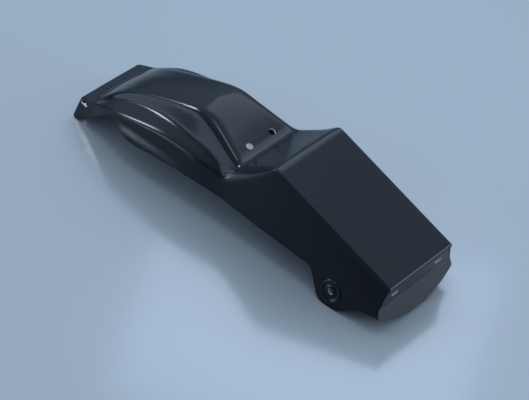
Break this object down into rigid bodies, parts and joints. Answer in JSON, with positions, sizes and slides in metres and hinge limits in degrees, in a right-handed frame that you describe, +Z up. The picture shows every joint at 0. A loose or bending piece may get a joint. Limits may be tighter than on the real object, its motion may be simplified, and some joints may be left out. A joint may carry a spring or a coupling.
{
  "type": "motorcycle rear inner fender",
  "caption": "One-piece moulded black rear inner fender with a domed wheel hump, a boxed tail, a drilled front flange and side tabs for indicators.",
  "frame": {"origin": "middle of the bounding box in X and Y, on the floor that the two front corners and the two tabs stand on", "axes": "+X runs rearwards to the tail, +Y runs across, away from the side seen in the picture, and +Z is up"},
  "size_m": [0.6858, 0.1969, 0.1693],
  "materials": {
    "shell": "glossy black gelcoat on a moulded laminate"
  },
  "bodies": {
    "root": {"inner_fender": "shell"}
  },
  "joints": []
}
